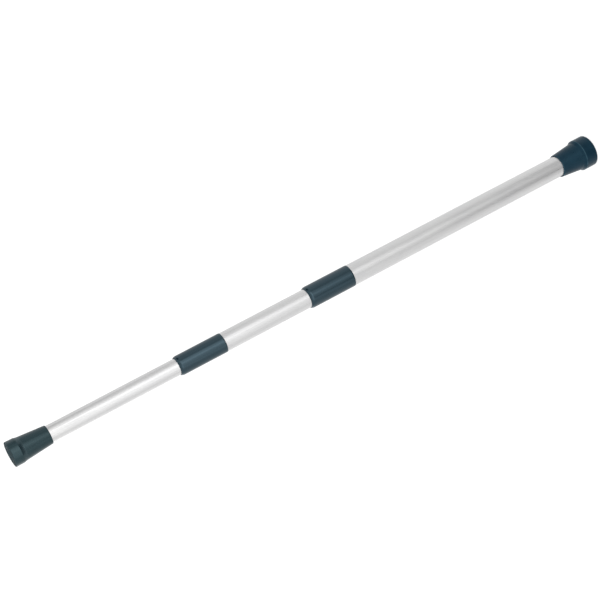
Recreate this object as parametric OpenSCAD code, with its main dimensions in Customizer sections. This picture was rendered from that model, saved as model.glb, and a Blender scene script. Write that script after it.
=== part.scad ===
// Telescopic support pole: three aluminium tubes, two twist locks, two collars and two rubber ferrules.
// The pole stands along Z on the sole of its base ferrule, with the origin in the middle of that sole.
// Names that end in _u are heights on the pole above the sole.

/* [Tubes] */
// Outside diameter of the outer tube
outer_tube_d = 25; // [24.8:0.1:25.4]
// Outside diameter of the middle tube
middle_tube_d = 22; // [21.8:0.1:22.2]
// Outside diameter of the inner tube
inner_tube_d = 19; // [18.8:0.1:19.2]
// Wall of all three tubes
tube_wall = 0.9; // [0.8:0.05:1]
// Length of outer tube that shows between ferrule and collar
outer_exposed = 298; // [280:1:340]
// Length of middle tube that shows, with the pole set as drawn
middle_exposed = 109; // [60:1:150]
// Length of inner tube that shows, with the pole set as drawn
inner_exposed = 155; // [60:1:170]

/* [Collars] */
// Length of each collar
collar_l = 58; // [54:1:70]
// Wall of a collar's skirt, over the tube
collar_wall = 0.4; // [0.4:0.05:1]
// Length of the solid lip that guides the sliding tube
lip_l = 10; // [8:0.5:14]
// Length of the rounded nose
nose_l = 4; // [3:0.25:6]

/* [Base ferrule] */
// Overall length
base_ferrule_l = 46.5; // [44:0.5:50]
// Diameter of the foot
base_foot_d = 38; // [37:0.2:42]
// Height of the foot's straight band
base_foot_l = 15.6; // [12:0.2:18]
// Diameter at the top of the step above the foot
base_neck_d = 33.6; // [31:0.2:34]
// Height of the step between foot and cone
base_step_l = 3.3; // [2:0.1:4]
// Diameter at the mouth
base_mouth_d = 27.7; // [27.6:0.1:29]
// Radius that rounds the sole's edge
base_sole_r = 1; // [0.6:0.1:2.8]

/* [Tip ferrule] */
// Overall length
tip_ferrule_l = 45; // [42:0.5:52]
// Diameter of the foot
tip_foot_d = 28.8; // [28.6:0.2:34]
// Height of the foot's straight band
tip_foot_l = 10; // [8:0.1:12]
// Diameter at the top of the step above the foot
tip_neck_d = 26.6; // [25:0.2:27.4]
// Height of the step between foot and cone
tip_step_l = 2.8; // [2:0.1:4]
// Diameter at the mouth
tip_mouth_d = 21.2; // [21.1:0.1:23]
// Radius that rounds the sole's edge
tip_sole_r = 0.6; // [0.4:0.1:1.6]

/* [Twist locks] */
// Thread diameter of the middle section's lock
middle_stud_d = 8; // [6:1:8]
// Thread diameter of the inner section's lock
inner_stud_d = 6; // [5:1:6]
// Width of the slots in the expanders
slot_w = 1.6; // [1.4:0.1:2]

/* [Hidden] */
$fn = 96;
fit_gap = 0.05;           // between pieces fixed to each other
slide_gap = 0.1;          // between a sliding tube and the lip that guides it
ferrule_floor = 12;       // rubber under the tube's end
ferrule_lip = 0.5;        // bevel outside a ferrule's mouth
ferrule_lead = [0.25, 0.6];    // bevel inside a ferrule's mouth, across and along
base_treads = [7, 11, 15];     // radii of the rings in the base ferrule's sole
tip_treads = [5, 8.3, 11.6];   // radii of the rings in the tip ferrule's sole
tread_depth = 1.2;
tread_mouth = 0.7;        // half a tread ring's width at the sole
tread_floor = 0.45;       // half a tread ring's width at its bottom
washer_t = 1.5;
washer_hole_d = 8;
washer_inset = 0.4;       // how much smaller a washer is than its tube
tube_start = ferrule_floor + washer_t;
stop_back = 35;           // from a tube's mouth to its rolled stop groove
groove_depth = 0.45;
groove_flank = 2;         // half the groove's length at the surface
groove_floor = 0.7;       // half the groove's length at its bottom
skirt_bevel = 0.6;        // share of a skirt's wall that the bevel at its end takes off
nose_face = 0.4;          // flat ring at the tip of a collar's nose
nose_turn = 65;           // angle through which the nose's curve turns
nose_steps = 6;
end_clear = 4;            // left past a lock when its section is pushed fully in

// A lock's own places are measured from the tube's end, positive towards the base
shank_l = 24;
shank_lead = [1, 2];      // bevel at the inner end of a plug's shank, across and along
flange_l = 3;
flange_gap = 0.15;        // between a plug's flange and the tube around it
flange_bevel = 0.4;
expander_start = 4;
expander_l = 26;
expander_wall = 2.6;      // at an expander's coned mouths
expander_bevel = 0.5;
slot_l = 20;
cone_depth = 11;          // how deep an expander is coned at each end
cone_taper = tan(12);
nose_depth = 10;          // length of the cones that fit in an expander
head_start = 32;
head_l = 4;
head_gap = 0.6;           // between a cone's head and an expander's gripping surface
head_bevel = 0.5;
key_w = 1.2;
key_gap = 0.7;            // between a key's top and an expander's gripping surface
key_start = 3;            // from a cone's small end to its keys
cone_travel = 2.5;
nut_gap = 0.3;            // left between cone and nut with the lock fully open
nut_start = head_start + head_l + cone_travel + nut_gap;
nut_l = 3.5;
middle_nut_af = 13;       // across the flats
inner_nut_af = 10;        // across the flats
stud_end = 43.5;
stud_in_plug = 10;
stud_bevels = [0.6, 0.8]; // at a stud's fixed and free ends
pin_w = -16;
pin_d = 3;
pin_slot = 0.5;           // gap along a rolled pin
pin_inset = 0.4;          // how much shorter a pin is than its tube is wide
lock_l = stud_end;

// Stations along the pole
base_mouth_u = base_ferrule_l;
outer_collar_u = base_mouth_u + outer_exposed;
outer_nose_u = outer_collar_u + collar_l;
middle_collar_u = outer_nose_u + middle_exposed;
middle_nose_u = middle_collar_u + collar_l;
tip_mouth_u = middle_nose_u + inner_exposed;
total_l = tip_mouth_u + tip_ferrule_l;
outer_tube_end = outer_nose_u - lip_l;
middle_tube_end = middle_nose_u - lip_l;
inner_tube_end = total_l - tube_start;
middle_tube_start = tube_start + middle_exposed + lock_l + end_clear;
inner_tube_start = middle_tube_start + shank_l + inner_exposed + lock_l + end_clear;

outer_bore_r = outer_tube_d / 2 - tube_wall;
middle_bore_r = middle_tube_d / 2 - tube_wall;
inner_bore_r = inner_tube_d / 2 - tube_wall;

// Puts a shape at height u on the pole, pointing to the tip
module up_from(u) {
    translate([0, 0, u]) children();
}

// Puts a shape at height u on the pole, pointing to the base, as a lock does
module down_from(u) {
    translate([0, 0, u]) rotate([180, 0, 0]) children();
}

module lathe(points) {
    rotate_extrude() polygon(points);
}

// Radial offsets of a rolled groove centred at g, for a wall of radius r
function groove(r, g) = [
    [r, g - groove_flank],
    [r - groove_depth, g - groove_floor],
    [r - groove_depth, g + groove_floor],
    [r, g + groove_flank]
];

function reversed(list) = [for (i = [len(list) - 1:-1:0]) list[i]];

// A round tube with a rolled stop groove near its mouth
module grooved_tube(d, length) {
    r = d / 2;
    g = length - stop_back;
    lathe(concat([[r, 0]], groove(r, g), [[r, length], [r - tube_wall, length]],
                 reversed(groove(r - tube_wall, g)), [[r - tube_wall, 0]]));
}

// Cross hole for a lock's pin, through a tube or plug, at height z
module pin_hole(d, z) {
    translate([0, 0, z]) rotate([90, 0, 0]) cylinder(d = pin_d + 2 * fit_gap, h = d + 2, center = true);
}

// Collar: a skirt over the fixed tube, a lip round the sliding tube and a rounded nose
module collar(fixed_d, sliding_d) {
    r = fixed_d / 2 + collar_wall;
    skirt_bore = fixed_d / 2 + fit_gap;
    lip_bore = sliding_d / 2 + slide_gap;
    drop = (r - lip_bore - nose_face) / (1 - cos(nose_turn));
    rise = nose_l / sin(nose_turn);
    edge = (r - skirt_bore) * skirt_bevel;
    nose = [for (i = [0:nose_steps])
        let (a = nose_turn * i / nose_steps)
        [r - drop * (1 - cos(a)), collar_l - nose_l + rise * sin(a)]];
    lathe(concat([[skirt_bore, 0], [r - edge, 0], [r, edge]], nose,
                 [[lip_bore, collar_l], [lip_bore, collar_l - lip_l], [skirt_bore, collar_l - lip_l]]));
}

// Ferrule: a socket for the tube in a cone, a step, and a foot with ring treads in its sole
module ferrule(tube_d, length, foot_d, foot_l, step_l, neck_d, mouth_d, sole_r, tread_rs) {
    bore = tube_d / 2 + fit_gap;
    foot_r = foot_d / 2;
    neck_r = neck_d / 2;
    mouth_r = mouth_d / 2;
    treads = [for (r = tread_rs) each [[r - tread_mouth, 0], [r - tread_floor, tread_depth],
                                       [r + tread_floor, tread_depth], [r + tread_mouth, 0]]];
    sole_edge = [for (a = [0:15:90]) [foot_r - sole_r * (1 - sin(a)), sole_r * (1 - cos(a))]];
    lathe(concat([[0, 0]], treads, sole_edge,
                 [[foot_r, foot_l], [neck_r, foot_l + step_l],
                  [mouth_r, length - ferrule_lip], [mouth_r - ferrule_lip, length],
                  [bore + ferrule_lead.x, length], [bore, length - ferrule_lead.y],
                  [bore, ferrule_floor], [0, ferrule_floor]]));
}

module washer(tube_d) {
    difference() {
        cylinder(d = tube_d - washer_inset, h = washer_t);
        translate([0, 0, -1]) cylinder(d = washer_hole_d, h = washer_t + 2);
    }
}

function grip_r(bore_r) = bore_r - fit_gap;
function cone_mouth_r(bore_r) = grip_r(bore_r) - expander_wall;
function cone_neck_r(bore_r) = cone_mouth_r(bore_r) - cone_depth * cone_taper;

// Plug fixed in a tube's end, with a flange that meets the stop groove and a cone for the expander
module lock_plug(tube_d, bore_r, stud_d) {
    shank_r = tube_d / 2 - tube_wall - fit_gap;
    flange_r = bore_r - flange_gap;
    nose_r = cone_mouth_r(bore_r) - fit_gap;
    nose_end = expander_start + nose_depth;
    difference() {
        lathe([[0, -shank_l], [shank_r - shank_lead.x, -shank_l], [shank_r, -shank_l + shank_lead.y],
               [shank_r, 0], [flange_r, 0], [flange_r, flange_l - flange_bevel],
               [flange_r - flange_bevel, flange_l], [nose_r, flange_l],
               [nose_r, expander_start], [nose_r - nose_depth * cone_taper, nose_end], [0, nose_end]]);
        translate([0, 0, -stud_in_plug]) cylinder(d = stud_d + 2 * fit_gap, h = nose_end + stud_in_plug + 1);
        pin_hole(tube_d, pin_w);
    }
}

// Rolled spring pin across tube and plug
module lock_pin(tube_d) {
    length = tube_d - pin_inset;
    translate([0, 0, pin_w]) rotate([90, 0, 0]) difference() {
        cylinder(d = pin_d, h = length, center = true);
        cylinder(d = pin_d / 2, h = length + 2, center = true);
        translate([0, -pin_slot / 2, -length / 2 - 1]) cube([pin_d, pin_slot, length + 2]);
    }
}

module lock_stud(stud_d) {
    r = stud_d / 2;
    bottom = -stud_in_plug + fit_gap;
    fixed = stud_bevels[0];
    free = stud_bevels[1];
    lathe([[0, bottom], [r - fixed, bottom], [r, bottom + fixed], [r, stud_end - free],
           [r - free, stud_end], [0, stud_end]]);
}

// Thin stop nut that keeps the cone on the stud
module lock_nut(stud_d, across_flats) {
    translate([0, 0, nut_start]) difference() {
        cylinder(d = across_flats / cos(30), h = nut_l, $fn = 6);
        translate([0, 0, -1]) cylinder(d = stud_d + 2 * fit_gap, h = nut_l + 2);
    }
}

// Slotted sleeve, coned at both ends, that is forced outwards against the tube around it
module lock_expander(bore_r) {
    r = grip_r(bore_r);
    mouth = cone_mouth_r(bore_r);
    neck = cone_neck_r(bore_r);
    bevel_r = r - expander_bevel;
    translate([0, 0, expander_start]) difference() {
        lathe([[mouth, 0], [bevel_r, 0], [r, expander_bevel], [r, expander_l - expander_bevel],
               [bevel_r, expander_l], [mouth, expander_l], [neck, expander_l - cone_depth],
               [neck, cone_depth]]);
        for (a = [0:90:270]) {
            rotate(a) translate([0, -slot_w / 2, -1]) cube([r + 1, slot_w, slot_l + 1]);
            rotate(a + 45) translate([0, -slot_w / 2, expander_l - slot_l]) cube([r + 1, slot_w, slot_l + 1]);
        }
    }
}

// Threaded cone with keys that ride in the expander's slots
module lock_cone(bore_r, stud_d) {
    r = cone_mouth_r(bore_r) - fit_gap;
    expander_end = expander_start + expander_l;
    small_w = expander_end - nose_depth;
    head_end = head_start + head_l;
    head_r = grip_r(bore_r) - head_gap;
    key_r = grip_r(bore_r) - key_gap;
    difference() {
        union() {
            lathe([[0, small_w], [r - nose_depth * cone_taper, small_w], [r, expander_end], [r, head_start],
                   [head_r, head_start], [head_r, head_end - head_bevel],
                   [head_r - head_bevel, head_end], [0, head_end]]);
            for (a = [45:90:315])
                rotate(a) translate([0, -key_w / 2, small_w + key_start])
                    cube([key_r, key_w, head_start + 1 - small_w - key_start]);
        }
        translate([0, 0, small_w - 1]) cylinder(d = stud_d + 4 * fit_gap, h = head_end - small_w + 2);
    }
}

// Outer section
module outer_tube() color("silver") up_from(tube_start)
    grooved_tube(outer_tube_d, outer_tube_end - tube_start);
module outer_collar() color("darkslategray") up_from(outer_collar_u) collar(outer_tube_d, middle_tube_d);
module base_ferrule() color("darkslategray") up_from(0)
    ferrule(outer_tube_d, base_ferrule_l, base_foot_d, base_foot_l, base_step_l, base_neck_d, base_mouth_d,
            base_sole_r, base_treads);
module base_washer() color("gainsboro") up_from(ferrule_floor) washer(outer_tube_d);

// Middle section and its lock
module middle_tube() color("silver") up_from(middle_tube_start) difference() {
    grooved_tube(middle_tube_d, middle_tube_end - middle_tube_start);
    pin_hole(middle_tube_d, -pin_w);
}
module middle_collar() color("darkslategray") up_from(middle_collar_u) collar(middle_tube_d, inner_tube_d);
module middle_lock_plug() color("dimgray") down_from(middle_tube_start)
    lock_plug(middle_tube_d, outer_bore_r, middle_stud_d);
module middle_lock_pin() color("gainsboro") down_from(middle_tube_start) lock_pin(middle_tube_d);
module middle_lock_stud() color("gainsboro") down_from(middle_tube_start) lock_stud(middle_stud_d);
module middle_lock_nut() color("gainsboro") down_from(middle_tube_start)
    lock_nut(middle_stud_d, middle_nut_af);
module middle_lock_expander() color("ivory") down_from(middle_tube_start) lock_expander(outer_bore_r);
module middle_lock_cone() color("dimgray") down_from(middle_tube_start)
    lock_cone(outer_bore_r, middle_stud_d);

// Inner section and its lock
module inner_tube() color("silver") up_from(inner_tube_start) difference() {
    cylinder(d = inner_tube_d, h = inner_tube_end - inner_tube_start);
    translate([0, 0, -1]) cylinder(r = inner_bore_r, h = inner_tube_end - inner_tube_start + 2);
    pin_hole(inner_tube_d, -pin_w);
}
module tip_ferrule() color("darkslategray") down_from(total_l)
    ferrule(inner_tube_d, tip_ferrule_l, tip_foot_d, tip_foot_l, tip_step_l, tip_neck_d, tip_mouth_d,
            tip_sole_r, tip_treads);
module tip_washer() color("gainsboro") up_from(inner_tube_end) washer(inner_tube_d);
module inner_lock_plug() color("dimgray") down_from(inner_tube_start)
    lock_plug(inner_tube_d, middle_bore_r, inner_stud_d);
module inner_lock_pin() color("gainsboro") down_from(inner_tube_start) lock_pin(inner_tube_d);
module inner_lock_stud() color("gainsboro") down_from(inner_tube_start) lock_stud(inner_stud_d);
module inner_lock_nut() color("gainsboro") down_from(inner_tube_start)
    lock_nut(inner_stud_d, inner_nut_af);
module inner_lock_expander() color("ivory") down_from(inner_tube_start) lock_expander(middle_bore_r);
module inner_lock_cone() color("dimgray") down_from(inner_tube_start)
    lock_cone(middle_bore_r, inner_stud_d);

outer_tube();
outer_collar();
base_ferrule();
base_washer();
middle_tube();
middle_collar();
middle_lock_plug();
middle_lock_pin();
middle_lock_stud();
middle_lock_nut();
middle_lock_expander();
middle_lock_cone();
inner_tube();
tip_ferrule();
tip_washer();
inner_lock_plug();
inner_lock_pin();
inner_lock_stud();
inner_lock_nut();
inner_lock_expander();
inner_lock_cone();
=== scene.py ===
import math

import bmesh
import bpy
from mathutils import Matrix, Vector


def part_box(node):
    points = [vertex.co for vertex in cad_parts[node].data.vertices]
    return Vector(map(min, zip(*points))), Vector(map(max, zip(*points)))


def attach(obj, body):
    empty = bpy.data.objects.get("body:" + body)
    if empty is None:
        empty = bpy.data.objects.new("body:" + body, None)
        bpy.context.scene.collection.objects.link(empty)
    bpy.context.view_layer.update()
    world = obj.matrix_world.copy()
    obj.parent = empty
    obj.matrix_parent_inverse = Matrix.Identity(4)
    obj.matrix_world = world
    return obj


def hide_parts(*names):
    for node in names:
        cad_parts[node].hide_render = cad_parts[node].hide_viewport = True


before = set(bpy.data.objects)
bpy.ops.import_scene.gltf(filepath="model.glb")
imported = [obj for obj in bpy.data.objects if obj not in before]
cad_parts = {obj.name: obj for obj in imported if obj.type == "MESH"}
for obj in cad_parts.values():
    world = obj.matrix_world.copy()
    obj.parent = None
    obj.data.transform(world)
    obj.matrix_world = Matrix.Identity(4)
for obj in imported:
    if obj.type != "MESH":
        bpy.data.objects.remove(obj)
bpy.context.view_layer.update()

# A telescopic support pole that stands on its wide base ferrule. The pole's axis is Z.
# Outlines and sizes are in millimetres, and become metres when a mesh is made.

MM = 0.001
TURN = 2 * math.pi
WHITE = (1, 1, 1, 1)

# Sizes that the frame's boxes don't show
TUBE_WALL = 0.9
FIT_GAP = 0.05          # between pieces fixed to each other
SLIDE_GAP = 0.1         # between a sliding tube and the lip that guides it
TUBE_EDGE = 0.2         # rounding of a tube's ends
GROOVE_BACK = 35        # from a tube's mouth to its rolled stop groove
GROOVE_DEPTH = 0.45
GROOVE_HALF = 2         # half the groove's length
PIN_HEIGHT = 16         # from a tube's lower end to its lock pin
PIN_D = 3
COLLAR_LIP = 10         # length of the lip that guides the sliding tube
SKIRT_BEVEL = (0.06, 1.2)   # across and along
NOSE_L = 4
NOSE_FACE = 0.4         # flat ring at the tip of a collar's nose
NOSE_TURN = math.radians(65)    # angle through which the nose's curve turns
NOSE_STEPS = 8
COLLAR_SEAMS = (TURN / 8, 5 * TURN / 8)
FERRULE_FLOOR = 12      # rubber under the tube's end
FERRULE_LEAD = (0.25, 0.7)  # bevel inside a ferrule's mouth, across and along
TREAD_MOUTH = 0.7       # half a tread ring's width at the sole
TREAD_FLOOR = 0.4       # half a tread ring's width at its bottom
TREAD_DEPTH = 1.2
SEAM_HEIGHT = 0.03      # how far a collar's mould seam stands proud
SEAM_HALF = 0.006       # half a mould seam's width, in radians
SEAM_START = 0.5        # from a ferrule's bore out to where its seams begin
THREAD_DEPTH = 0.6      # share of the pitch
STUD_BEVELS = (0.6, 0.8)    # at a stud's fixed and free ends

EDGE_RUB = 0.3          # how pale a rounded edge is rubbed, from 0 to 1
MATT_END = 0.65         # roughness added on faces that lie across the pole
NOISE_ROUGHNESS = 0.55
NOISE_RANGE = (0.3, 0.7)
SHARP = math.radians(35)    # faces that meet at a larger angle show an edge

# Sides of a round shape, and steps along one turn of a thread
TUBE_SIDES = 160
MOULDING_SIDES = 144
STUD_SIDES = 48
HOLE_SIDES = 48
THREAD_STEPS = 8


# ---------------------------------------------------------------- mesh building

def rounded(corners, steps=5):
    """Closed outline from (radius, height, rounding, paleness) corners: [(radius, height, paleness)].

    paleness is how pale a rounded edge is painted, from 0 to 1: rubbed wear, and on a few edges a painted
    highlight. It may be left out."""
    points = []
    for i, (r, z, rounding, *wear_and_highlight) in enumerate(corners):
        here = Vector((r, z))
        if rounding == 0:
            points.append((r, z, 0))
            continue
        back = (Vector(corners[i - 1][:2]) - here).normalized()
        ahead = (Vector(corners[(i + 1) % len(corners)][:2]) - here).normalized()
        half = back.angle(ahead) / 2
        middle = here + (back + ahead).normalized() * rounding / math.sin(half)
        start = here + back * rounding / math.tan(half) - middle
        sweep = math.pi - 2 * half
        if back.x * ahead.y > back.y * ahead.x:
            sweep = -sweep
        for k in range(steps + 1):
            turn = Matrix.Rotation(sweep * k / steps, 2)
            spot = middle + turn @ start
            points.append((spot.x, spot.y, wear_and_highlight[0] if wear_and_highlight else EDGE_RUB))
    return points


def supported(points, reach=0.4, longest=12):
    """The same outline with extra points, so that long stretches shade flat and edges stay tight.

    reach is how far the first extra point lies from a corner, and longest is the widest gap left."""
    out = []
    for i, (r, z, wear_and_highlight) in enumerate(points):
        out.append((r, z, wear_and_highlight))
        r2, z2 = points[(i + 1) % len(points)][:2]
        length = math.hypot(r2 - r, z2 - z)
        if length < 3 * reach or (r == 0 and r2 == 0):
            continue
        inner = length - 2 * reach
        count = max(1, math.ceil(inner / longest))
        for k in range(count + 1):
            share = (reach + inner * k / count) / length
            out.append((r + (r2 - r) * share, z + (z2 - z) * share, 0))
    return out


def apart(a, b):
    """Angle between two directions round the axis."""
    return abs((a - b + math.pi) % TURN - math.pi)


def ring(count, seams=()):
    """Angles round the axis, with five close together at each mould seam."""
    angles = [TURN * k / count for k in range(count)]
    for seam in seams:
        step = 2 * SEAM_HALF
        angles = [a for a in angles if apart(a, seam) > 2.5 * step]
        angles += [seam + step * k for k in (-2, -1, 0, 1, 2)]
    return sorted(a % TURN for a in angles)


def lathe(name, outline, angles, shape=None):
    """Mesh object turned from a closed outline. shape(angle, radius, height) may change the radius."""
    mesh = bpy.data.meshes.new(name)
    build = bmesh.new()
    wear_and_highlight_layer = build.verts.layers.float.new("wear_and_highlight")
    rows = []
    for r, z, wear_and_highlight in outline:
        row = []
        for a in [0] if r == 0 else angles:
            radius = shape(a, r, z) if shape else r
            vert = build.verts.new((radius * math.cos(a) * MM, radius * math.sin(a) * MM, z * MM))
            vert[wear_and_highlight_layer] = wear_and_highlight
            row.append(vert)
        rows.append(row)
    for low, high in zip(rows, rows[1:] + rows[:1]):
        if len(low) == len(high) == 1:
            continue
        for k in range(len(angles)):
            corners = [low[k % len(low)], low[(k + 1) % len(low)]]
            corners += [high[(k + 1) % len(high)], high[k % len(high)]]
            build.faces.new(dict.fromkeys(corners))
    bmesh.ops.recalc_face_normals(build, faces=build.faces)
    build.to_mesh(mesh)
    build.free()
    mesh.shade_smooth()
    mesh.set_sharp_from_angle(angle=SHARP)
    piece = bpy.data.objects.new(name, mesh)
    bpy.context.scene.collection.objects.link(piece)
    return piece


def drill(piece, length, height, d):
    """Cuts a hole along Y through a piece at a height."""
    bpy.ops.mesh.primitive_cylinder_add(vertices=HOLE_SIDES, radius=d / 2 * MM, depth=length * MM)
    cutter = bpy.context.object
    cutter.matrix_world = Matrix.Translation((0, 0, height * MM)) @ Matrix.Rotation(TURN / 4, 4, "X")
    cut = piece.modifiers.new("hole", "BOOLEAN")
    cut.operation = "DIFFERENCE"
    cut.object = cutter
    bpy.context.view_layer.update()
    evaluated = piece.evaluated_get(bpy.context.evaluated_depsgraph_get())
    whole = bpy.data.meshes.new_from_object(evaluated)
    piece.modifiers.clear()
    piece.data = whole
    bpy.data.objects.remove(cutter)
    whole.set_sharp_from_angle(angle=SHARP)


def span(node):
    """(outer radius, bottom, top) of a turned CAD node, in millimetres."""
    low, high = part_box(node)
    return max(high.x, high.y) / MM, low.z / MM, high.z / MM


def stand_for(piece, node, body, material):
    """The piece replaces a CAD node, rides on its body and takes a material."""
    piece.data.materials.clear()
    piece.data.materials.append(material)
    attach(piece, body)
    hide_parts(node)
    return piece


# ---------------------------------------------------------------- materials

class Nodes:
    """Short calls that add and join shader nodes."""

    def __init__(self, tree):
        self.tree = tree

    def add(self, kind, **values):
        """New node. Each value sets its property of that name, or else its input socket."""
        node = self.tree.nodes.new(kind)
        for key, value in values.items():
            if hasattr(node, key):
                setattr(node, key, value)
            else:
                node.inputs[key.replace("_", " ")].default_value = value
        return node

    def join(self, source, target, output=0, socket=0):
        """Links an output of one node to an input socket of another."""
        self.tree.links.new(source.outputs[output], target.inputs[socket])

    def coordinates(self, scale):
        """Object coordinates in metres, times a scale for each axis."""
        place = self.add("ShaderNodeTexCoord")
        mapping = self.add("ShaderNodeMapping")
        mapping.inputs["Scale"].default_value = scale
        self.join(place, mapping, "Object", "Vector")
        return mapping

    def noise(self, scale, detail=3):
        """Noise that changes once every 1 / scale metres along each axis."""
        texture = self.add("ShaderNodeTexNoise")
        texture.inputs["Scale"].default_value = 1
        texture.inputs["Detail"].default_value = detail
        texture.inputs["Roughness"].default_value = NOISE_ROUGHNESS
        self.join(self.coordinates(scale), texture, 0, "Vector")
        return texture

    def remap(self, source, low, high, new_low, new_high):
        """Value from low..high stretched to new_low..new_high, clamped."""
        node = self.add("ShaderNodeMapRange")
        ends = {"From Min": low, "From Max": high, "To Min": new_low, "To Max": new_high}
        for key, value in ends.items():
            node.inputs[key].default_value = value
        self.join(source, node, 0, "Value")
        return node

    def spread(self, noise, new_low, new_high):
        """Noise stretched from its usual range to new_low..new_high."""
        return self.remap(noise, *NOISE_RANGE, new_low, new_high)

    def math(self, operation, *terms):
        """Math node on two terms, each a node, a (node, output) pair or a number."""
        node = self.add("ShaderNodeMath", operation=operation)
        for socket, term in enumerate(terms):
            if isinstance(term, (int, float)):
                node.inputs[socket].default_value = term
            elif isinstance(term, tuple):
                self.join(term[0], node, term[1], socket)
            else:
                self.join(term, node, 0, socket)
        return node

    def dot(self, source, output, direction):
        """Dot product of a vector output and a direction, as a (node, output) pair."""
        node = self.add("ShaderNodeVectorMath", operation="DOT_PRODUCT")
        node.inputs[1].default_value = direction
        self.join(source, node, output, 0)
        return node, "Value"

    def blend(self, factor, first, second):
        """Colour mix, where each end is a colour or a colour mix node."""
        node = self.add("ShaderNodeMix", data_type="RGBA")
        self.join(factor, node, 0, "Factor")
        for socket, colour in ((6, first), (7, second)):
            if isinstance(colour, tuple):
                node.inputs[socket].default_value = (*colour, 1)
            else:
                self.join(colour, node, 2, socket)
        return node

    def bump(self, height, distance, under=None):
        """Bump node with its height in metres, over an earlier one."""
        node = self.add("ShaderNodeBump")
        node.inputs["Distance"].default_value = distance
        self.join(height, node, 0, "Height")
        if under:
            self.join(under, node, 0, "Normal")
        return node


def shader(name, **values):
    """New material, its node helper and its Principled node, with values that are the same all over."""
    material = bpy.data.materials.new(name)
    material.use_nodes = True
    nodes = Nodes(material.node_tree)
    surface = material.node_tree.nodes["Principled BSDF"]
    for key, value in values.items():
        surface.inputs[key.replace("_", " ")].default_value = value
    return material, nodes, surface


def tube_aluminium():
    """Drawn tube, satin and clear anodised: fine lengthwise lines and a few sliding marks."""
    material, n, surface = shader("satin_aluminium", Metallic=1.0)
    lines = n.noise((4200, 4200, 9), detail=4)
    bands = n.noise((420, 420, 5), detail=2)
    cloud = n.noise((45, 45, 22), detail=3)
    marks = n.remap(n.noise((1500, 1500, 26), detail=2), 0.67, 0.74, 0, 1)
    tone = n.blend(n.spread(cloud, 0, 1), (0.86, 0.86, 0.865), (0.91, 0.91, 0.905))
    drawn = n.blend(n.remap(lines, 0.52, 0.72, 0, 1), tone, (0.72, 0.72, 0.72))
    worn = n.blend(n.math("MULTIPLY", marks, 0.35), drawn, (0.68, 0.68, 0.68))
    n.join(worn, surface, 2, "Base Color")
    streak = n.spread(bands, -0.04, 0.04)
    fine = n.spread(lines, 0.30, 0.46)
    n.join(n.math("ADD", fine, streak), surface, 0, "Roughness")
    n.join(n.bump(marks, -8e-6, under=n.bump(lines, 8e-6)), surface, 0, "Normal")
    return material


def dark_moulding(name, dark, light, worn, roughness, grain, grain_depth, level, tint):
    """Moulded plastic or rubber: mottled colour, coloured gloss, fine grain, and paler edges that show
    rubbed wear and, on a few ferrule edges, a painted highlight.

    grain is a number of grains in a metre, grain_depth is in metres, and level and tint set the gloss."""
    material, n, surface = shader(name, Specular_IOR_Level=level, IOR=1.6, Specular_Tint=(*tint, 1))
    mottle = n.noise((160, 160, 120), detail=4)
    speck = n.noise((2600, 2600, 2600), detail=2)
    base = n.blend(n.spread(mottle, 0, 1), dark, light)
    # Paler edges from the per-vertex paleness: rubbed wear, and on a few ferrule edges a painted
    # highlight.
    wear_and_highlight = n.add("ShaderNodeAttribute", attribute_name="wear_and_highlight")
    pale = n.math("MULTIPLY", (wear_and_highlight, "Fac"), n.remap(mottle, 0.38, 0.6, 0.35, 1))
    n.join(n.blend(pale, base, worn), surface, 2, "Base Color")
    low, high = roughness
    sheen = n.math("ADD", n.spread(mottle, low, high), n.spread(speck, -0.04, 0.04))
    facing = n.dot(n.add("ShaderNodeNewGeometry"), "Normal", (0, 0, 1))
    end_face = n.remap(n.math("ABSOLUTE", facing), 0.85, 0.97, 0, MATT_END)
    n.join(n.math("ADD", sheen, end_face), surface, 0, "Roughness")
    skin = n.noise((grain, grain, grain), detail=3)
    n.join(n.bump(skin, grain_depth), surface, 0, "Normal")
    return material


def plated_steel():
    """Zinc plated steel: bright, faintly clouded."""
    material, n, surface = shader("zinc_plated_steel", Metallic=1.0)
    cloud = n.noise((700, 700, 700), detail=4)
    n.join(n.blend(cloud, (0.52, 0.53, 0.55), (0.66, 0.66, 0.64)), surface, 2, "Base Color")
    n.join(n.spread(cloud, 0.25, 0.45), surface, 0, "Roughness")
    n.join(n.bump(n.noise((4000, 4000, 4000)), 5e-6), surface, 0, "Normal")
    return material


def moulded_nylon(name, dark, light):
    """Plain injection-moulded nylon."""
    material, n, surface = shader(name, Specular_IOR_Level=0.4)
    mottle = n.noise((300, 300, 300), detail=3)
    n.join(n.blend(mottle, dark, light), surface, 2, "Base Color")
    n.join(n.spread(mottle, 0.42, 0.56), surface, 0, "Roughness")
    n.join(n.bump(n.noise((3000, 3000, 3000)), 8e-6), surface, 0, "Normal")
    return material


ALUMINIUM = tube_aluminium()
COLLAR_PLASTIC = dark_moulding(
    "collar_plastic", dark=(0.002, 0.012, 0.018), light=(0.004, 0.018, 0.026), worn=(0.03, 0.05, 0.06),
    roughness=(0.12, 0.18), grain=2000, grain_depth=1.2e-5, level=1.0, tint=(0.45, 0.67, 0.81))
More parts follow.
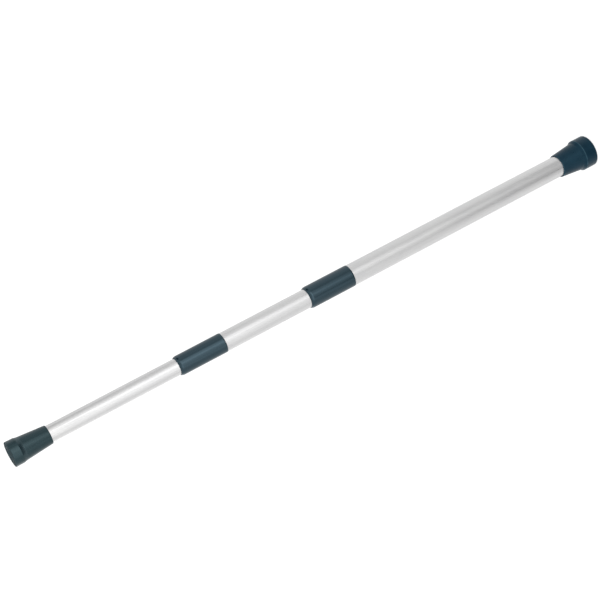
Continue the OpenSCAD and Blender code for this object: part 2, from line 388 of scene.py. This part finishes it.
# The base and tip ferrules are one rubber. These two copies differ in colour and gloss to paint in the
# different light at the base and at the tip: painted light and shade. Their worn colour is also the
# colour of the painted highlights on ferrule edges.
RUBBER_AS_LIT_AT_BASE = dark_moulding(
    "rubber_as_lit_at_base", dark=(0.006, 0.027, 0.047), light=(0.009, 0.035, 0.059), worn=(0.05, 0.11, 0.145),
    roughness=(0.26, 0.36), grain=1500, grain_depth=2.5e-5, level=0.28, tint=(0.34, 0.66, 0.85))
RUBBER_AS_LIT_AT_TIP = dark_moulding(
    "rubber_as_lit_at_tip", dark=(0.002, 0.016, 0.022), light=(0.005, 0.022, 0.030), worn=(0.03, 0.05, 0.06),
    roughness=(0.20, 0.28), grain=1500, grain_depth=2.5e-5, level=0.7, tint=(0.56, 0.80, 0.86))
STEEL = plated_steel()
LOCK_NYLON = moulded_nylon("lock_nylon", (0.02, 0.02, 0.022), (0.035, 0.035, 0.038))
EXPANDER_PLASTIC = moulded_nylon("expander_plastic", (0.62, 0.60, 0.52), (0.72, 0.70, 0.62))


# ---------------------------------------------------------------- tubes

def tube_outline(r, low, high, groove):
    """Tube wall from low to high, with a rolled groove near its top."""
    def side(radius, up):
        g = high - GROOVE_BACK
        bend = [
            (radius, g - GROOVE_HALF, 0.8),
            (radius - GROOVE_DEPTH, g, 0.9),
            (radius, g + GROOVE_HALF, 0.8),
        ]
        points = [(radius, low, TUBE_EDGE), *(bend if groove else []), (radius, high, TUBE_EDGE)]
        return points if up else points[::-1]
    return supported(rounded(side(r, True) + side(r - TUBE_WALL, False)), longest=40)


def make_tube(node, body, groove, pinned):
    """Tube with rounded ends, and a cross hole for its lock's pin where pinned is True."""
    r, low, high = span(node)
    piece = lathe(f"{node}_drawn", tube_outline(r, low, high, groove), ring(TUBE_SIDES))
    if pinned:
        drill(piece, 2 * r + 2, low + PIN_HEIGHT, PIN_D + 2 * FIT_GAP)
    return stand_for(piece, node, body, ALUMINIUM)


# ---------------------------------------------------------------- collars and ferrules

def seam_ridge(inner, height, seams):
    """Shape function: a fine mould seam that stands proud of the outside, beyond radius inner."""
    def shape(angle, r, z):
        off = min(apart(angle, seam) for seam in seams)
        return r + (height if r > inner and off < SEAM_HALF else 0)
    return shape


def make_collar(node, body, fixed_tube, sliding_tube):
    """Skirt over the fixed tube, lip round the sliding tube, and a nose that curves down to it."""
    r, low, high = span(node)
    skin = r - SEAM_HEIGHT
    skirt_bore = span(fixed_tube)[0] + FIT_GAP
    lip_bore = span(sliding_tube)[0] + SLIDE_GAP
    drop = (skin - lip_bore - NOSE_FACE) / (1 - math.cos(NOSE_TURN))
    rise = NOSE_L / math.sin(NOSE_TURN)
    turns = [NOSE_TURN * k / NOSE_STEPS for k in range(NOSE_STEPS)]
    nose = [(skin - drop * (1 - math.cos(a)), high - NOSE_L + rise * math.sin(a), 0) for a in turns]
    outline = supported(rounded([
        (skirt_bore, low, 0.05),
        (skin - SKIRT_BEVEL[0], low, 0.15),
        (skin, low + SKIRT_BEVEL[1], 1.5),
        *nose,
        (lip_bore + NOSE_FACE, high, 0.2),
        (lip_bore, high, 0.12),
        (lip_bore, high - COLLAR_LIP, 0.2),
        (skirt_bore, high - COLLAR_LIP, 0),
    ]))
    ridge = seam_ridge(skirt_bore, SEAM_HEIGHT, COLLAR_SEAMS)
    piece = lathe(f"{node}_moulded", outline, ring(MOULDING_SIDES, COLLAR_SEAMS), ridge)
    return stand_for(piece, node, body, COLLAR_PLASTIC)


def make_ferrule(node, body, tube, material, sole_r, sole_round, band_r, band_l, band_wear_and_highlight, step_l,
                 neck_r, neck_round, neck_wear_and_highlight, mouth_r, treads, seams, up):
    """Rubber ferrule: socket in a cone, a step, and a banded foot with ring treads in its sole.

    Its outline starts at the sole. A _round value rounds a corner, and the edge values say how pale
    an edge is painted: rubbed wear, and where set high a painted highlight. up is True where the ferrule
    stands on its sole, mouth up."""
    r, low, high = span(node)
    bore = span(tube)[0] + FIT_GAP
    length = high - low
    corners = [(0, 0, 0)]
    for tread in treads:
        corners += [
            (tread - TREAD_MOUTH, 0, 0.2),
            (tread - TREAD_FLOOR, TREAD_DEPTH, 0.25),
            (tread + TREAD_FLOOR, TREAD_DEPTH, 0.25),
            (tread + TREAD_MOUTH, 0, 0.2),
        ]
    corners += [
        (sole_r, 0, sole_round),
        (band_r, band_l, 0.9, band_wear_and_highlight),
        (neck_r, band_l + step_l, neck_round, neck_wear_and_highlight),
        (mouth_r, length, 0.5, 0.6),
        (bore + FERRULE_LEAD[0], length, 0.25),
        (bore, length - FERRULE_LEAD[1], 0.4),
        (bore, FERRULE_FLOOR, 0.4),
        (0, FERRULE_FLOOR, 0),
    ]
    outline = supported(rounded(corners))
    if not up:
        outline = [(radius, length - z, wear_and_highlight) for radius, z, wear_and_highlight in outline]
    outline = [(radius, low + z, wear_and_highlight) for radius, z, wear_and_highlight in outline]
    ridge = seam_ridge(bore + SEAM_START, r - max(sole_r, band_r), seams)
    piece = lathe(f"{node}_moulded", outline, ring(MOULDING_SIDES, seams), ridge)
    return stand_for(piece, node, body, material)


make_tube("outer_tube", "outer_section", groove=True, pinned=False)
make_tube("middle_tube", "middle_section", groove=True, pinned=True)
make_tube("inner_tube", "inner_section", groove=False, pinned=True)

make_collar("outer_collar", "outer_section", "outer_tube", "middle_tube")
make_collar("middle_collar", "middle_section", "middle_tube", "inner_tube")
# On the base ferrule the band's shoulder is painted fully pale as a painted highlight. On the tip ferrule
# the neck is painted pale as painted light over a dark reflection. The other pale edges are rubbed wear.
make_ferrule("base_ferrule", "outer_section", "outer_tube", RUBBER_AS_LIT_AT_BASE, sole_r=18.8, sole_round=1,
             band_r=18.95, band_l=15.6, band_wear_and_highlight=1, step_l=3.3,
             neck_r=16.8, neck_round=1.4, neck_wear_and_highlight=0, mouth_r=13.85,
             treads=(7, 11, 15), seams=(0.3, 0.3 + math.pi), up=True)
make_ferrule("tip_ferrule", "inner_section", "inner_tube", RUBBER_AS_LIT_AT_TIP, sole_r=14.36, sole_round=0.6,
             band_r=14.16, band_l=10, band_wear_and_highlight=0.2, step_l=2.8,
             neck_r=13.3, neck_round=18, neck_wear_and_highlight=0.9, mouth_r=10.6,
             treads=(5, 8.3, 11.6), seams=(0.9, 0.9 + math.pi), up=False)


# ---------------------------------------------------------------- locks, hidden in the tubes

def threaded(r, pitch, low, high):
    """Shape function: a right-hand thread cut into a rod, run out at both ends."""
    depth = THREAD_DEPTH * pitch

    def shape(angle, radius, z):
        if radius < r - 0.01:
            return radius
        turn = (z / pitch - angle / TURN) % 1
        run_out = min(1, (z - low) / pitch, (high - z) / pitch)
        return r - depth * max(0, run_out) * (1 - abs(2 * turn - 1))
    return shape


def make_stud(node, body, pitch):
    """Threaded rod with a bevel at each end."""
    r, low, high = span(node)
    fixed, free = STUD_BEVELS
    start, end = low + fixed, high - free
    steps = round((high - low) / pitch * THREAD_STEPS)
    side = [(r, start + (end - start) * k / steps, 0) for k in range(steps + 1)]
    outline = [(0, low, 0), (r - fixed, low, 0), *side, (r - free, high, 0), (0, high, 0)]
    piece = lathe(f"{node}_threaded", outline, ring(STUD_SIDES), threaded(r, pitch, start, end))
    return stand_for(piece, node, body, STEEL)


make_stud("middle_lock_stud", "middle_section", pitch=1.25)
make_stud("inner_lock_stud", "inner_section", pitch=1.0)

CAD_FINISH = {
    "base_washer": STEEL,
    "tip_washer": STEEL,
    "middle_lock_pin": STEEL,
    "inner_lock_pin": STEEL,
    "middle_lock_nut": STEEL,
    "inner_lock_nut": STEEL,
    "middle_lock_plug": LOCK_NYLON,
    "inner_lock_plug": LOCK_NYLON,
    "middle_lock_cone": LOCK_NYLON,
    "inner_lock_cone": LOCK_NYLON,
    "middle_lock_expander": EXPANDER_PLASTIC,
    "inner_lock_expander": EXPANDER_PLASTIC,
}
for node, material in CAD_FINISH.items():
    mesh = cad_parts[node].data
    mesh.materials.clear()
    mesh.materials.append(material)


# ---------------------------------------------------------------- studio

# (azimuth, elevation, sharpness, slimness, strength): azimuth 0 is the camera's side and 90 is +X.
# A slim lobe is an upright strip. The light level and the first seven lobes are the rounded output
# of a least-squares fit to tones in the photo. The last two light the back and were set one by one.
LIGHT_LEVEL = 0.77
DIMMEST_LIGHT = 0.05
LIGHT_LOBES = [
    (8, -14, 40, 0, 1.8),
    (-7, -44, 4.7, 0, -1.9),
    (83, 6, 40, 0, -1.45),
    (-24, -16, 11, 0, 1.9),
    (222, 4, 28, 0, 0.75),
    (28, -9, 28, 14, 1.25),
    (-29, -32, 12, 15, -1.2),
    (165, 0, 30, 0, -0.6),
    (193, -4, 60, 0, 0.9),
]

# The lens and the camera's place, tilt and roll were fitted to the pole's widths and edges in the photo.
CAMERA_LENS = 96
CAMERA_SENSOR = 36
CAMERA_REACH = 100
CAMERA_DISTANCE = 1.768
CAMERA_AIM = (0.0019, 0, 0.4101)
CAMERA_TILT = 19.7
CAMERA_ROLL = 27.78
FLOOR_HALF = 30
FLOOR_GLOW = 0.85


def sky():
    """White light tent. Each lobe brightens or darkens the light from one direction."""
    world = bpy.data.worlds.new("light_tent")
    world.use_nodes = True
    bpy.context.scene.world = world
    n = Nodes(world.node_tree)
    world.node_tree.nodes.clear()
    place = n.add("ShaderNodeTexCoord")
    total = None
    for azimuth, height, sharpness, slimness, strength in LIGHT_LOBES:
        a, e = math.radians(azimuth), math.radians(height)
        front = (math.sin(a) * math.cos(e), -math.cos(a) * math.cos(e), math.sin(e))
        facing = n.math("MAXIMUM", n.dot(place, "Generated", front), 0)
        lobe = n.math("MULTIPLY", n.math("POWER", facing, sharpness), strength)
        if slimness:
            aside = n.dot(place, "Generated", (math.cos(a), math.sin(a), 0))
            within = n.math("SUBTRACT", 1, n.math("MULTIPLY", aside, aside))
            lobe = n.math("MULTIPLY", lobe, n.math("POWER", within, slimness))
        total = n.math("ADD", total or LIGHT_LEVEL, lobe)
    light = n.add("ShaderNodeBackground", Color=WHITE)
    n.join(n.math("MAXIMUM", total, DIMMEST_LIGHT), light, 0, "Strength")
    white = n.add("ShaderNodeBackground", Color=WHITE)
    seen = n.add("ShaderNodeLightPath")
    mix = n.add("ShaderNodeMixShader")
    n.join(seen, mix, "Is Camera Ray", 0)
    n.join(light, mix, 0, 1)
    n.join(white, mix, 0, 2)
    n.join(mix, n.add("ShaderNodeOutputWorld"), 0, "Surface")


def floor():
    """Pale floor that takes a soft shadow but throws no light back at the pole."""
    mesh = bpy.data.meshes.new("floor")
    half = FLOOR_HALF
    corners = [(-half, -half, 0), (half, -half, 0), (half, half, 0), (-half, half, 0)]
    mesh.from_pydata(corners, [], [(0, 1, 2, 3)])
    piece = bpy.data.objects.new("floor", mesh)
    bpy.context.scene.collection.objects.link(piece)
    material, n, surface = shader("pale_floor", Roughness=0.9, Emission_Color=WHITE,
                                  Emission_Strength=FLOOR_GLOW)
    grain = n.noise((30, 30, 30), detail=2)
    n.join(n.blend(grain, (0.33, 0.33, 0.33), (0.37, 0.37, 0.37)), surface, 2, "Base Color")
    mesh.materials.append(material)
    piece.visible_glossy = False
    piece.visible_diffuse = False
    piece.visible_shadow = False


def camera():
    """Looks a little down on the middle of the pole, rolled so that its base is at the upper right."""
    tilt, roll = math.radians(CAMERA_TILT), math.radians(CAMERA_ROLL)
    forward = Vector((0, math.cos(tilt), -math.sin(tilt)))
    along = Vector((0, -math.sin(tilt), -math.cos(tilt)))
    across = forward.cross(along)
    right = along * math.cos(roll) + across * math.sin(roll)
    up = along * math.sin(roll) - across * math.cos(roll)
    data = bpy.data.cameras.new("camera")
    data.lens = CAMERA_LENS
    data.sensor_width = CAMERA_SENSOR
    data.clip_end = CAMERA_REACH
    eye = bpy.data.objects.new("camera", data)
    bpy.context.scene.collection.objects.link(eye)
    place = Vector(CAMERA_AIM) - forward * CAMERA_DISTANCE
    eye.matrix_world = Matrix.Translation(place) @ Matrix((right, up, -forward)).transposed().to_4x4()
    bpy.context.scene.camera = eye


sky()
floor()
camera()
bpy.context.scene.view_settings.view_transform = "Standard"
